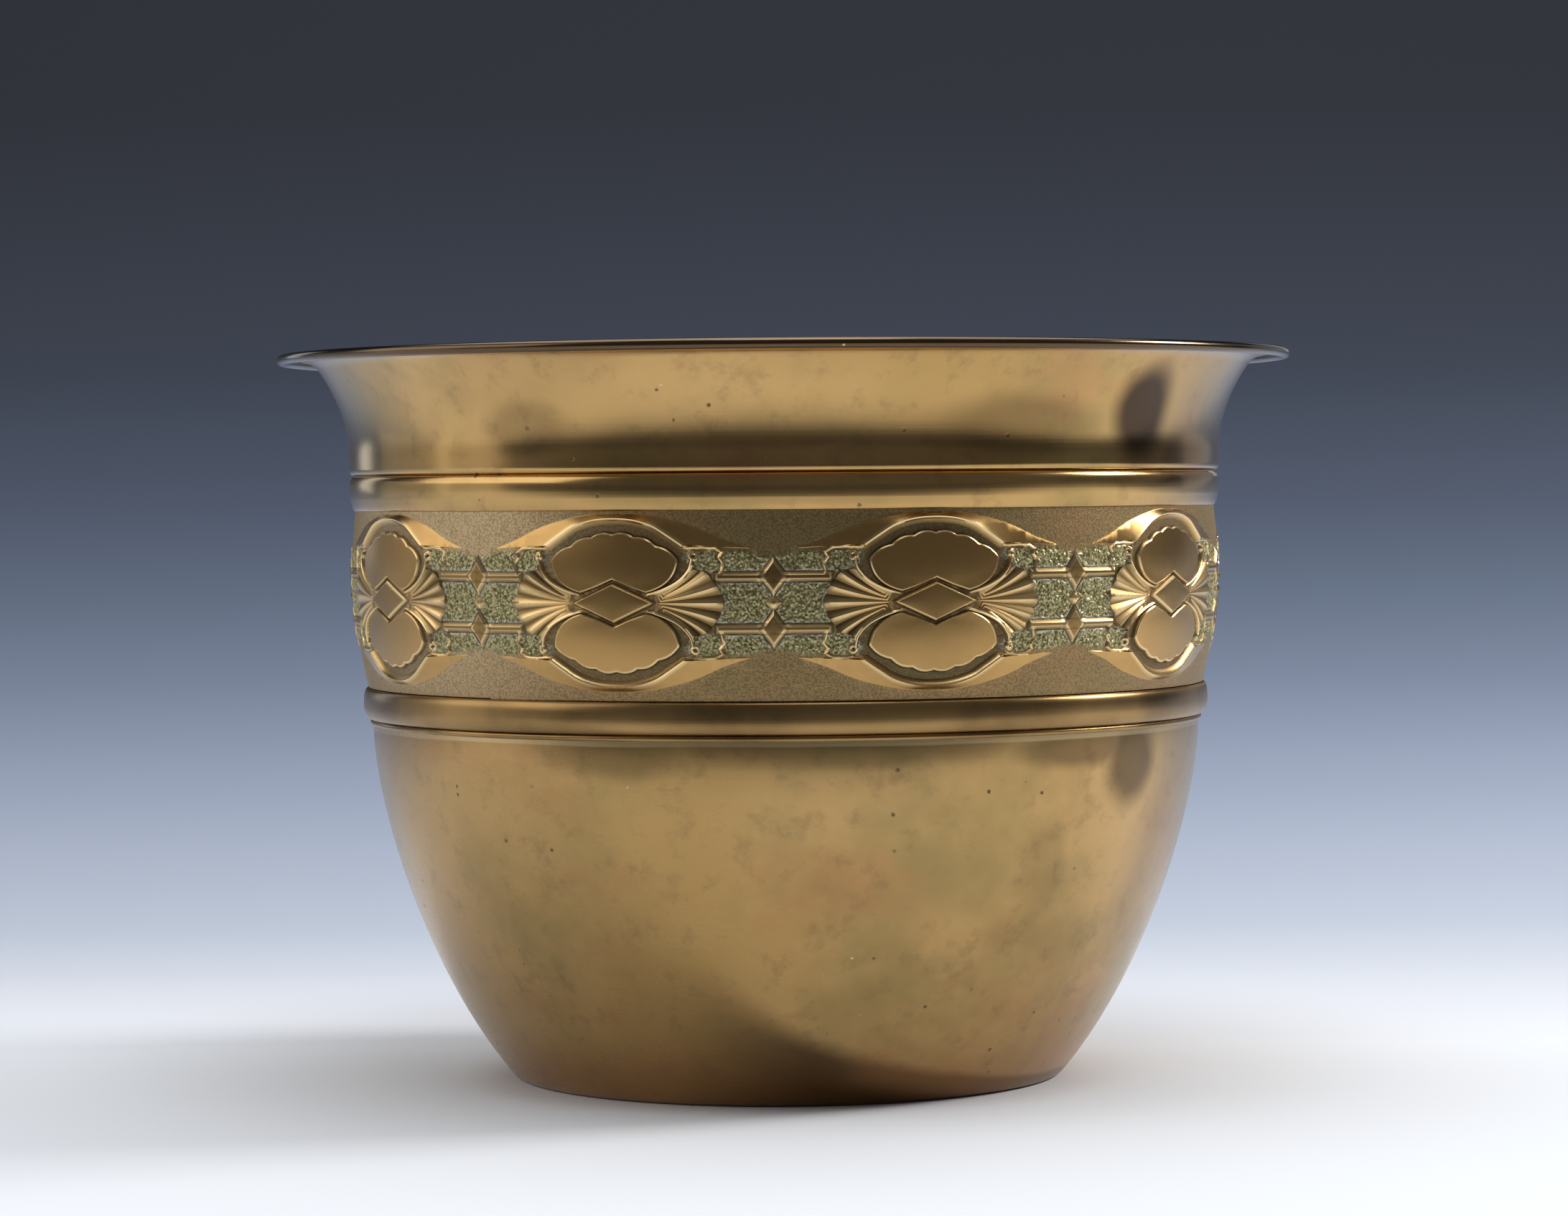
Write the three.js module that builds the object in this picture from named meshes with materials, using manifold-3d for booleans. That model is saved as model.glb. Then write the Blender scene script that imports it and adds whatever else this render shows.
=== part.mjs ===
// A brass jardiniere of soldered sheet: a spun bowl, a moulding round its collar, a strip stamped flat
// and bent to a hoop with a strap behind its seam, and a spun neck whose lip is curled round a wire.
// Millimetres, +Z up, origin at the middle of the flat bottom. The seam is turned about Z from -Y.
import * as THREE from 'three';
import { TessellateModifier } from 'three/addons/modifiers/TessellateModifier.js';
import { mergeVertices } from 'three/addons/utils/BufferGeometryUtils.js';
import Module from 'manifold-3d';

const wasm = await Module();
wasm.setup();

// Joints and facets
const solderGap = 0.3;
const facets = 45;
const bendStep = 18;

// Bowl
const bowlSheet = 0.8;
const baseRadius = 75.9;
const baseEdge = 1.8;
const bowlRadius = 114.5;
const bowlHeight = 98.2;
const footRun = 23.8;
const footRise = 27.5;
const shoulderDrop = 22.8;
const collarHeight = 15;

// Lower moulding: a bead with a fine thread under it
const beadHeight = 8.6;
const beadProud = 2.3;
const beadEdge = 1.1;
const threadHeight = 1.6;
const threadProud = 0.5;
const threadGroove = 0.2;

// Frieze band
const friezeSheet = 0.6;
const friezeHeight = 48.3;
const friezeFlare = 3.2;
const friezeSwell = 2.1;
const friezeBorder = 8.6;
const seamTurn = -41.4;
const seamSlit = 0.3;
const strapSheet = 0.6;
const strapWidth = 11;
const strapHeight = 40;

// Ornament: sizes in the flat strip from the middle of one motif, and how far each part stands out
const motifCount = 9;
const stampRoot = 0.3;
const diamondWidth = 22.6;
const diamondHeight = 10.4;
const diamondRelief = 1.2;
const lobeWidth = 35;
const lobeCorner = 10.9;
const lobeTip = 17.2;
const lobeFlank = 16.6;
const lobeFlankRise = 4;
const lobeHeel = 8.8;
const lobeHeelRise = 2.9;
const lobeGap = 0.8;
const lobeRelief = 0.9;
const scallopCount = 6;
const scallopDepth = 0.7;
const ridgeFoot = 21.6;
const ridgeFootRise = 10.2;
const ridgeFlank = 19.3;
const ridgeFlankRise = 3.9;
const ridgeEnd = 10.2;
const ridgeEndRise = 2;
const ridgeWidth = 1.1;
const ridgeRelief = 0.9;
const archWidth = 40.6;
const archFoot = 12;
const archTop = 20.9;
const archBand = 2.1;
const archShoulder = 11;
const archRelief = 1.0;
const wingTip = 35.5;
const wingDrop = 13.9;
const wingTop = 22.7;
const wingShoulder = 19.9;
const wingElbow = 18.7;
const wingHollow = 11.8;
const wingGap = 0.8;
const wingRelief = 0.7;
const flutePairs = 2;
const fluteStart = 12.4;
const fluteEnd = 29;
const fluteSpread = 3;
const fluteWidth = 2.1;
const fluteTaper = 0.4;
const fluteShorten = 0.55;
const fluteRelief = 0.7;
const barOffset = 6.6;
const barReach = 11.2;
const barWidth = 1.3;
const starWidth = 5.8;
const starHeight = 8.2;
const barRelief = 0.6;

// Neck
const neckSheet = 0.6;
const neckHeight = 42.7;
const hemTurn = 0.35;
const hemHeight = 3;
const grooveRise = 9.5;
const grooveShoulder = 2;
const grooveStep = 1.2;
const stopReach = 0.35;
const flareHeight = 28;
const flareUpright = 12;
const flareReach = 8.2;
const lipDrop = 4.2;
const lipPitch = 0.2;
const lipBend = 2.3;
const rimOverhang = 19.6;
const wireRadius = 0.5;
const curlTurn = 260;

// Places that follow from the sizes
const seamAngle = THREE.MathUtils.degToRad(seamTurn);
const mouldingFoot = bowlHeight;
const mouldingTop = mouldingFoot + threadHeight + beadHeight;
const friezeFoot = mouldingTop + solderGap;
const friezeTop = friezeFoot + friezeHeight;
const friezeMiddle = (friezeFoot + friezeTop) / 2;
const bendSag = bendStep ** 2 / (8 * bowlRadius);
const friezeFootRadius = bowlRadius + solderGap + bendSag + friezeSheet;
const friezeTopRadius = friezeFootRadius + friezeFlare;
const friezeMiddleRadius = (friezeFootRadius + friezeTopRadius) / 2 + friezeSwell;
const motifPitch = (2 * Math.PI * friezeMiddleRadius) / motifCount;
const facetSag = friezeTopRadius * (1 / Math.cos(Math.PI / facets) - 1);
const neckFoot = friezeTop + solderGap;
const neckRadius = friezeTopRadius + facetSag + solderGap + hemTurn + neckSheet;
const rimTop = neckFoot + neckHeight;
const curlRadius = wireRadius + solderGap + neckSheet;
const wireRing = neckRadius + rimOverhang - curlRadius;
const wireHeight = rimTop - curlRadius;

const weldReach = 1e-4;

const at = (r, z) => new THREE.Vector2(r, z);
const line = (from, to) => new THREE.LineCurve(from, to);
const bend = (from, corner, to) => new THREE.QuadraticBezierCurve(from, corner, to);

// Points along a chain of curves, each with its own number of steps
const distinct = (points) => points.filter((point, i) => point.distanceTo(points.at(i - 1)) > weldReach);
const trace = (...stretches) => distinct(stretches.flatMap(([curve, steps]) => curve.getPoints(steps)));

// The line moved sideways by a distance, to the left of its travel, with mitred corners
function beside(points, distance) {
  const normals = points.slice(1).map((point, i) => {
    const along = point.clone().sub(points[i]).normalize();
    return at(-along.y, along.x);
  });
  return points.map((point, i) => {
    const before = normals[Math.max(i - 1, 0)];
    const after = normals[Math.min(i, normals.length - 1)];
    const mitre = before.clone().add(after).divideScalar(1 + before.dot(after));
    return point.clone().addScaledVector(mitre, distance);
  });
}

// The closed section between two lines, the first on the outside
const between = (outer, inner) => [...outer, ...[...inner].reverse()];
const sheet = (points, thickness) => between(points, beside(points, thickness));

// A closed solid from any closed geometry: shared corners are merged and faces without area left out
function solid(geometry) {
  const bare = geometry.index ? geometry.toNonIndexed() : geometry.clone();
  bare.deleteAttribute('normal');
  bare.deleteAttribute('uv');
  const merged = mergeVertices(bare, weldReach);
  const corners = merged.index.array;
  const triVerts = [];
  for (let i = 0; i < corners.length; i += 3) {
    const [a, b, c] = corners.slice(i, i + 3);
    if (a !== b && b !== c && c !== a) triVerts.push(a, b, c);
  }
  const vertProperties = new Float32Array(merged.getAttribute('position').array);
  const mesh = new wasm.Mesh({ numProp: 3, vertProperties, triVerts: new Uint32Array(triVerts) });
  return new wasm.Manifold(mesh);
}

function geometryOf(body) {
  const { numProp, vertProperties, triVerts } = body.getMesh();
  const geometry = new THREE.BufferGeometry();
  geometry.setAttribute('position', new THREE.BufferAttribute(vertProperties, numProp));
  geometry.setIndex(new THREE.BufferAttribute(triVerts, 1));
  return geometry;
}

// A section turned about the axis: one that starts and ends on the axis, or one that closes on itself
function spin(section) {
  const onAxis = section[0].x === 0;
  const outline = onAxis ? section : [...section, section[0]];
  return solid(new THREE.LatheGeometry(outline, facets, seamAngle).rotateX(Math.PI / 2));
}

function bowl() {
  const corner = at(baseRadius, 0);
  const wall = new THREE.CubicBezierCurve(
    corner,
    at(baseRadius + footRun, footRise),
    at(bowlRadius, bowlHeight - shoulderDrop),
    at(bowlRadius, bowlHeight),
  );
  const slant = at(footRun, footRise).setLength(baseEdge).add(corner);
  const flat = at(baseRadius - baseEdge, 0);
  const rise = wall.getPoints(5).filter((point) => point.y > slant.y * 2);
  const side = trace(
    [line(at(0, 0), flat), 1],
    [bend(flat, corner, slant), 2],
    [new THREE.SplineCurve([slant, ...rise]), rise.length],
    [line(at(bowlRadius, bowlHeight), at(bowlRadius, bowlHeight + collarHeight)), 1],
  );
  return spin(sheet(side, bowlSheet));
}

function lowerMoulding() {
  const inner = bowlRadius + solderGap;
  const outer = inner + beadProud;
  const foot = at(inner, mouldingFoot);
  const thread = at(inner + 2 * threadProud, mouldingFoot + threadHeight / 2);
  const groove = at(inner + threadGroove, mouldingFoot + threadHeight);
  const widest = at(outer, groove.y + beadHeight / 2);
  const top = at(outer - beadEdge, mouldingTop);
  const face = trace(
    [bend(foot, thread, groove), 2],
    [bend(groove, at(outer, groove.y + beadEdge / 2), widest), 3],
    [bend(widest, at(outer, mouldingTop - beadEdge), top), 3],
  );
  return spin([...face, at(inner, mouldingTop)]);
}

// The radius of the band's outer face at a height above its foot: a swelling curve, then an upright border
function faceRadius(rise) {
  const t = Math.min(rise / friezeHeight, 1);
  const swollen = 2 * friezeMiddleRadius - (friezeFootRadius + friezeTopRadius) / 2;
  return (1 - t) ** 2 * friezeFootRadius + 2 * t * (1 - t) * swollen + t ** 2 * friezeTopRadius;
}

// One outline repeated on both sides, above and below, or in the four quarters of a motif
function mirrored(points, ...signs) {
  return signs.map(([across, up]) => new THREE.Shape(points.map((p) => at(p.x * across, p.y * up))));
}
const leftAndRight = [[1, 1], [-1, 1]];
const aboveAndBelow = [[1, 1], [1, -1]];
const quarters = [[1, 1], [-1, 1], [-1, -1], [1, -1]];

// The whole outline of a bow from the two edges of its right half, each from the foot to the crown
function bow(outside, inside) {
  const across = (points) => points.map((point) => at(-point.x, point.y));
  return distinct([...outside, ...across(outside).reverse(), ...across(inside), ...[...inside].reverse()]);
}

function diamond() {
  const side = diamondWidth / 2;
  const tip = diamondHeight / 2;
  return [new THREE.Shape([at(side, 0), at(0, tip), at(-side, 0), at(0, -tip)])];
}

// An almond over the diamond: its outer edge is scalloped, its lower edge follows the flutes and the diamond
function lobes() {
  const corner = lobeWidth / 2;
  const crown = bend(at(corner, lobeCorner), at(0, 2 * lobeTip - lobeCorner), at(-corner, lobeCorner));
  const edge = crown.getPoints(scallopCount);
  const scallops = edge.slice(1).map((point, i) => {
    const middle = point.clone().add(edge[i]).divideScalar(2);
    const outward = at(edge[i].y - point.y, point.x - edge[i].x).normalize();
    return [bend(edge[i], middle.addScaledVector(outward, -2 * scallopDepth), point), 2];
  });
  const notch = at(0, diamondHeight / 2 + lobeGap);
  const flank = (side) => bend(
    at(side * corner, lobeCorner),
    at(side * lobeFlank, lobeFlankRise),
    at(side * lobeHeel, lobeHeelRise),
  );
  const outline = [
    ...trace(...scallops, [flank(-1), 2]),
    notch,
    ...flank(1).getPoints(2).reverse().slice(0, -1),
  ];
  return mirrored(outline, ...aboveAndBelow);
}

// A ribbon over each lobe
function arches() {
  const outer = at(archWidth / 2, archFoot);
  const inner = at(outer.x - archBand, archFoot - archBand / 2);
  const half = (foot, top) => bend(foot, at(archShoulder, top), at(0, top)).getPoints(3);
  const outside = half(outer, archTop);
  const inside = half(inner, archTop - archBand);
  return mirrored(bow(outside, inside), ...aboveAndBelow);
}

// A long bow over each arch, its two ends drawn out to horns
function wings() {
  const tip = at(wingTip, wingDrop);
  const outside = bend(tip, at(wingShoulder, wingTop), at(0, wingTop)).getPoints(3);
  const hollow = archTop + wingGap;
  const elbow = at(wingElbow, wingDrop + wingGap);
  const inside = [tip, ...bend(elbow, at(wingHollow, hollow), at(0, hollow)).getPoints(3)];
  return mirrored(bow(outside, inside), ...aboveAndBelow);
}

// A thin ridge below each lobe's lower edge, from the foot of the arch to the corner of the diamond
function ridges() {
  const end = at(ridgeEnd, ridgeEndRise);
  const lower = bend(at(ridgeFoot, ridgeFootRise), at(ridgeFlank, ridgeFlankRise), end);
  const foot = at(ridgeFoot - ridgeWidth, ridgeFootRise + ridgeWidth / 2);
  const upper = bend(foot, at(ridgeFlank - ridgeWidth, ridgeFlankRise + ridgeWidth), end);
  const outline = distinct(between(lower.getPoints(2), upper.getPoints(2)));
  return mirrored(outline, ...quarters);
}

// A fan of flutes on each side of the diamond: a middle one, and pairs that get shorter further out
function flutes() {
  const half = fluteWidth / 2;
  const flute = (start, end, middle) => [start, at(end, middle - half), at(end, middle + half)];
  const pair = (i) => {
    const start = at(fluteStart - fluteTaper * i, fluteTaper * 2 * i);
    return mirrored(flute(start, fluteEnd - fluteShorten * i * i, fluteSpread * i), ...quarters);
  };
  const pairs = [...Array(flutePairs).keys()].flatMap((i) => pair(i + 1));
  return [...mirrored(flute(at(fluteStart, 0), fluteEnd, 0), ...leftAndRight), ...pairs];
}

// Two bars that end in a star, and a small stud between them: each is half of the one that the repeats share
function starBars() {
  const side = motifPitch / 2;
  const thick = barWidth / 2;
  const shoulder = (starWidth / 2) * (1 - barWidth / starHeight);
  const upper = [at(side, starHeight / 2), at(side - shoulder, thick), at(side - barReach, thick)];
  const lower = [...upper].reverse().map((point) => at(point.x, -point.y));
  const bar = [...upper, ...lower].map((point) => at(point.x, point.y + barOffset));
  const stud = [at(side, -barWidth), at(side, barWidth), at(side - barWidth, 0)];
  return [...mirrored(bar, ...quarters), ...mirrored(stud, ...leftAndRight)];
}

// One repeat of the stamped strip while it is flat: u along it, v up it, w out of its face
function flatRepeat() {
  const width = friezeHeight + friezeBorder;
  const plate = new THREE.BoxGeometry(motifPitch, width, friezeSheet);
  const ornament = [
    [diamond(), diamondRelief],
    [lobes(), lobeRelief],
    [ridges(), ridgeRelief],
    [arches(), archRelief],
    [wings(), wingRelief],
    [flutes(), fluteRelief],
    [starBars(), barRelief],
  ];
  let strip = solid(plate.translate(0, width / 2, -friezeSheet / 2));
  for (const [outlines, relief] of ornament) {
    const depth = relief + stampRoot;
    for (const outline of outlines) {
      const block = new THREE.ExtrudeGeometry(outline, { depth, bevelEnabled: false });
      strip = strip.add(solid(block.translate(0, friezeHeight / 2, -stampRoot)));
    }
  }
  return strip;
}

// The whole strip bent round the axis: the repeats run on into each other, and the two ends meet at the seam
function friezeBand() {
  const repeat = new TessellateModifier(bendStep, 12).modify(geometryOf(flatRepeat()).toNonIndexed());
  const flat = repeat.getAttribute('position');
  const half = motifPitch / 2;
  const along = (k) => {
    const u = flat.getX(k);
    return Math.abs(u) > half - weldReach ? Math.sign(u) * half : u;
  };
  const isCut = (first, end) => [0, 1, 2].every((k) => along(first + k) === end);
  const closing = 1 - seamSlit / (motifPitch * motifCount);
  const corners = [];
  for (let i = 0; i < motifCount; i++) {
    for (let first = 0; first < flat.count; first += 3) {
      const inside = (i > 0 && isCut(first, -half)) || (i < motifCount - 1 && isCut(first, half));
      for (let k = first; k < first + 3 && !inside; k++) {
        const turn = ((2 * i + 1 - motifCount) * half + along(k)) / friezeMiddleRadius;
        const angle = seamAngle + Math.PI + turn * closing;
        const radius = faceRadius(flat.getY(k)) + flat.getZ(k);
        corners.push(radius * Math.sin(angle), -radius * Math.cos(angle), friezeFoot + flat.getY(k));
      }
    }
  }
  const hoop = new THREE.BufferGeometry();
  hoop.setAttribute('position', new THREE.Float32BufferAttribute(corners, 3));
  return solid(hoop);
}

// A strip across the back of the seam, pressed to the band's curve, from just over the bowl's collar
function seamStrap() {
  const steps = 4;
  const foot = bowlHeight + collarHeight + solderGap;
  const heights = [...Array(steps + 1).keys()].map((i) => foot + (i * strapHeight) / steps);
  const behind = (depth) => heights.map((z) => at(faceRadius(z - friezeFoot) - depth, z));
  const front = friezeSheet + bendSag + solderGap;
  const block = new THREE.BoxGeometry(strapWidth, friezeMiddleRadius, 2 * (foot + strapHeight));
  block.translate(0, -friezeMiddleRadius, 0).rotateZ(seamAngle);
  return spin(between(behind(front), behind(front + strapSheet))).intersect(solid(block));
}

// The neck's outer face from its hem up, then under the lip and round inside the curl
function neck() {
  const groove = neckFoot + grooveRise;
  const grooveRadius = friezeTopRadius - stopReach + neckSheet;
  const flareFoot = at(neckRadius, rimTop - flareHeight);
  const flareCorner = at(neckRadius, rimTop - flareHeight + flareUpright);
  const flareEnd = at(neckRadius + flareReach, rimTop - lipDrop);
  const lipEnd = at(wireRing, wireHeight + wireRadius + solderGap);
  const steep = (flareEnd.y - flareCorner.y) / (flareEnd.x - flareCorner.x);
  const lipRun = (lipEnd.y - flareEnd.y - lipPitch * (lipEnd.x - flareEnd.x)) / (steep - lipPitch);
  const lipCorner = at(flareEnd.x + lipRun, flareEnd.y + lipRun * steep);
  const lipStart = at(lipCorner.x + lipBend, lipCorner.y + lipBend * lipPitch);
  const curlInside = wireRadius + solderGap;
  const curlStart = Math.PI / 2;
  const curlEnd = curlStart - THREE.MathUtils.degToRad(curlTurn);
  const curl = new THREE.EllipseCurve(wireRing, wireHeight, curlInside, curlInside, curlStart, curlEnd, true);
  const skirt = [
    at(neckRadius - hemTurn, neckFoot),
    at(neckRadius, neckFoot + hemHeight),
    at(neckRadius, groove - grooveShoulder),
    at(grooveRadius, groove),
    at(neckRadius, groove + grooveStep),
  ];
  const lip = trace(
    [bend(flareFoot, flareCorner, flareEnd), 3],
    [line(flareEnd, lipStart), 1],
    [curl, 5],
  );
  return spin(sheet([...skirt, ...lip], neckSheet));
}

function rimWire() {
  const circle = new THREE.EllipseCurve(wireRing, wireHeight, wireRadius, wireRadius);
  return spin(circle.getPoints(5).slice(0, -1));
}

const brass = (color, roughness) => new THREE.MeshStandardMaterial({ color, roughness, metalness: 1 });
const plainBrass = brass(0x9a7740, 0.32);
const darkBrass = brass(0x7c5f35, 0.36);
const stampedBrass = brass(0x87713f, 0.45);

function node(name, body, material) {
  const mesh = new THREE.Mesh(geometryOf(body), material);
  mesh.name = name;
  return mesh;
}

const jardiniere = new THREE.Group();
jardiniere.add(
  node('bowl', bowl(), plainBrass),
  node('lower_moulding', lowerMoulding(), darkBrass),
  node('frieze_band', friezeBand(), stampedBrass),
  node('seam_strap', seamStrap(), stampedBrass),
  node('neck', neck(), plainBrass),
  node('rim_wire', rimWire(), darkBrass),
);

export default jardiniere;
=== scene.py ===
import math

import bmesh
import bpy
import numpy as np
from mathutils import Matrix, Vector
from mathutils.geometry import delaunay_2d_cdt


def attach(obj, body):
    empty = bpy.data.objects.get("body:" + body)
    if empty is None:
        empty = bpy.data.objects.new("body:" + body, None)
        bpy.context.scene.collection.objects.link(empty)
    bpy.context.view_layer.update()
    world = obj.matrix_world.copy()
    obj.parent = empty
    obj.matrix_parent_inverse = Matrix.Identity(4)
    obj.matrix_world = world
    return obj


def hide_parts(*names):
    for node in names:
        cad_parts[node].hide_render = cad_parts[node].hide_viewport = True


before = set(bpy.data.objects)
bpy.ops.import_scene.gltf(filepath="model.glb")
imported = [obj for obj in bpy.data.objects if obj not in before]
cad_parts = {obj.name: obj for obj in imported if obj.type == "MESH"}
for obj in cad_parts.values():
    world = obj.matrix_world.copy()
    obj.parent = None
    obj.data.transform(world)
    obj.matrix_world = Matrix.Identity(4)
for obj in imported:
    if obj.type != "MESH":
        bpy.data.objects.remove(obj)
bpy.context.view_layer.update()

scene = bpy.context.scene
scene.view_settings.view_transform = "Standard"
mm = 0.001  # sizes of the pieces are in millimetres, looks and stage in metres


# Node trees: a Wire is one socket, sums and products of wires become Math nodes
def mathNode(operation, swapped=False):
    def combine(wire, other):
        return wire.calc(operation, other, wire) if swapped else wire.calc(operation, wire, other)
    return combine


class Wire:
    __add__ = mathNode("ADD")
    __radd__ = mathNode("ADD", swapped=True)
    __sub__ = mathNode("SUBTRACT")
    __rsub__ = mathNode("SUBTRACT", swapped=True)
    __mul__ = mathNode("MULTIPLY")
    __truediv__ = mathNode("DIVIDE")

    def __init__(self, tree, socket):
        self.tree = tree
        self.socket = socket

    def axes(self):  # the three parts of a vector
        split = self.tree.add("ShaderNodeSeparateXYZ", {0: self})
        return [Wire(self.tree, socket) for socket in split.socket.node.outputs]

    def calc(self, operation, *values):
        return self.tree.add("ShaderNodeMath", dict(enumerate(values)), operation=operation)

    def band(self, low, high):  # 0 below low, 1 above high, smooth between
        limits = {"Value": self, "From Min": low, "From Max": high}
        return self.tree.add("ShaderNodeMapRange", limits, interpolation_type="SMOOTHSTEP")

    def distance(self, spot):
        return self.tree.add("ShaderNodeVectorMath", {0: self, 1: spot}, "Value", operation="DISTANCE")

    def stretched(self, x, y, z):
        return self.tree.add("ShaderNodeMapping", {"Vector": self, "Scale": (x, y, z)})

    def noise(self, scale, detail, roughness=0.5):
        values = {"Vector": self, "Scale": scale, "Detail": detail, "Roughness": roughness}
        return self.tree.add("ShaderNodeTexNoise", values)

    def cells(self, scale):  # how far each spot is from the middle of its cell
        return self.tree.add("ShaderNodeTexVoronoi", {"Vector": self, "Scale": scale}, "Distance")


class Tree:
    def __init__(self, nodeTree):
        self.nodeTree = nodeTree

    def add(self, kind, values=None, out=0, **settings):
        node = self.nodeTree.nodes.new(kind)
        for name, value in settings.items():
            setattr(node, name, value)
        for key, value in (values or {}).items():
            if isinstance(value, Wire):
                self.nodeTree.links.new(value.socket, node.inputs[key])
            else:
                node.inputs[key].default_value = value
        return Wire(self, node.outputs[out] if len(node.outputs) else None)

    def mix(self, factor, first, second):  # colours
        return self.add("ShaderNodeMix", {0: factor, 6: first, 7: second}, 2, data_type="RGBA")

    def vector(self, x, y, z):
        return self.add("ShaderNodeCombineXYZ", {0: x, 1: y, 2: z})

    def given(self, name):
        return self.add("NodeGroupInput", None, name)


def shapeTree(name, inputs):
    nodeTree = bpy.data.node_groups.new(name, "GeometryNodeTree")
    nodeTree.interface.new_socket("Geometry", in_out="INPUT", socket_type="NodeSocketGeometry")
    for label, kind in inputs.items():
        nodeTree.interface.new_socket(label, in_out="INPUT", socket_type="NodeSocket" + kind)
    nodeTree.interface.new_socket("Geometry", in_out="OUTPUT", socket_type="NodeSocketGeometry")
    return Tree(nodeTree)


def closeTree(tree, shape):
    whole = tree.add("GeometryNodeRealizeInstances", {"Geometry": shape})
    finish = tree.add("GeometryNodeSetMaterial", {"Geometry": whole, "Material": tree.given("finish")})
    tree.add("NodeGroupOutput", {"Geometry": finish})


# Points of plain curves
def curve(corners, steps):
    t = np.linspace(0, 1, steps + 1)[:, None]
    degree = len(corners) - 1
    weights = [math.comb(degree, i) * t**i * (1 - t) ** (degree - i) for i in range(degree + 1)]
    return sum(weight * np.array(corner, float) for weight, corner in zip(weights, corners))


def through(knots, steps):  # a smooth line through the knots
    knots = np.array(knots, float)
    ends = np.vstack([2 * knots[0] - knots[1], knots, 2 * knots[-1] - knots[-2]])
    t = np.linspace(0, 1, steps, endpoint=False)[:, None]
    spans = []
    for a, b, c, d in zip(ends, ends[1:], ends[2:], ends[3:]):
        bend = (2 * a - 5 * b + 4 * c - d) * t**2 + (3 * b - a - 3 * c + d) * t**3
        spans.append(0.5 * (2 * b + (c - a) * t + bend))
    return np.vstack(spans + [knots[-1:]])


def arc(middle, radius, turns):
    return np.stack([np.cos(turns), np.sin(turns)], 1) * radius + middle


def chain(*lines):  # joined end to end, without the doubled points
    points = np.vstack([np.array(line, float) for line in lines])
    keep = np.r_[True, np.linalg.norm(np.diff(points, axis=0), axis=1) > 1e-6]
    return points[keep]


def beside(line, distance, closed=False):  # moved to the left of its travel
    before = np.roll(line, 1, axis=0) if closed else np.vstack([2 * line[0] - line[1], line[:-1]])
    after = np.roll(line, -1, axis=0) if closed else np.vstack([line[1:], 2 * line[-1] - line[-2]])
    first = line - before
    second = after - line
    first /= np.linalg.norm(first, axis=1)[:, None]
    second /= np.linalg.norm(second, axis=1)[:, None]
    normals = np.stack([-first[:, 1] - second[:, 1], first[:, 0] + second[:, 0]], 1)
    sharpest = 0.35  # keeps the points of sharp corners from running far out
    reach = np.maximum(1 + (first * second).sum(1), sharpest)[:, None]
    return line + normals / reach * distance


# Meshes
def meshObject(name, vertices, faces, edges=()):
    mesh = bpy.data.meshes.new(name)
    mesh.from_pydata([tuple(vertex) for vertex in vertices], list(edges), [tuple(face) for face in faces])
    obj = bpy.data.objects.new(name, mesh)
    scene.collection.objects.link(obj)
    return obj


def ladder(rows):  # four-sided faces between rows of points
    faces = []
    for low, high in zip(rows, rows[1:]):
        faces += zip(low, low[1:], high[1:], high)
    return faces


def shaped(host, tree, values):  # runs a shape tree on an object and keeps the result as a plain mesh
    modifier = host.modifiers.new("shape", "NODES")
    modifier.node_group = tree.nodeTree
    for item in tree.nodeTree.interface.items_tree:
        if item.in_out == "INPUT" and item.name in values:
            modifier[item.identifier] = values[item.name]
    graph = bpy.context.evaluated_depsgraph_get()
    mesh = bpy.data.meshes.new_from_object(host.evaluated_get(graph))
    host.modifiers.clear()
    host.data = mesh
    return host


def reworked(obj, change):  # one change to an object's mesh
    shell = bmesh.new()
    shell.from_mesh(obj.data)
    change(shell)
    shell.to_mesh(obj.data)
    shell.free()
    return obj


def faceOutward(shell):
    bmesh.ops.dissolve_degenerate(shell, dist=1e-8, edges=shell.edges)
    if shell.calc_volume(signed=True) < 0:
        bmesh.ops.reverse_faces(shell, faces=shell.faces)


def closeHoles(shell):
    bmesh.ops.holes_fill(shell, edges=[edge for edge in shell.edges if edge.is_boundary])


def alignFaces(shell):
    bmesh.ops.recalc_face_normals(shell, faces=shell.faces)


def finishShell(obj, sharpAngle=40):  # faces outward, with hard edges where the surface turns sharply
    reworked(obj, faceOutward)
    obj.data.polygons.foreach_set("use_smooth", [True] * len(obj.data.polygons))
    obj.data.set_sharp_from_angle(angle=math.radians(sharpAngle))
    return obj


def place(obj, node):
    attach(obj, "root")
    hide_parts(node)
    obj.data.calc_loop_triangles()
    print("piece", obj.name, len(obj.data.loop_triangles), "triangles")


# Spun pieces: a section in the x-z plane turned about the axis
def spunTree():
    tree = shapeTree("spunSheet", {"segments": "Int", "finish": "Material"})
    section = tree.given("Geometry")
    segments = tree.given("segments")
    count = tree.add("GeometryNodeAttributeDomainSize", {"Geometry": section}, "Point Count")
    grid = tree.add("GeometryNodeMeshGrid", {"Vertices X": segments + 1, "Vertices Y": count})
    index = tree.add("GeometryNodeInputIndex")
    column = index.calc("FLOOR", index / count)
    position = tree.add("GeometryNodeInputPosition")
    sample = {"Geometry": section, "Value": position, "Index": index - column * count}
    corner = tree.add("GeometryNodeSampleIndex", sample, data_type="FLOAT_VECTOR")
    radius, _, height = corner.axes()
    turn = column / segments * (2 * math.pi)
    spot = tree.vector(radius * turn.calc("SINE", turn), radius * turn.calc("COSINE", turn) * -1, height)
    turned = tree.add("GeometryNodeSetPosition", {"Geometry": grid, "Position": spot})
    closeTree(tree, tree.add("GeometryNodeMergeByDistance", {"Geometry": turned, "Distance": 1e-6}))
    return tree


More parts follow.
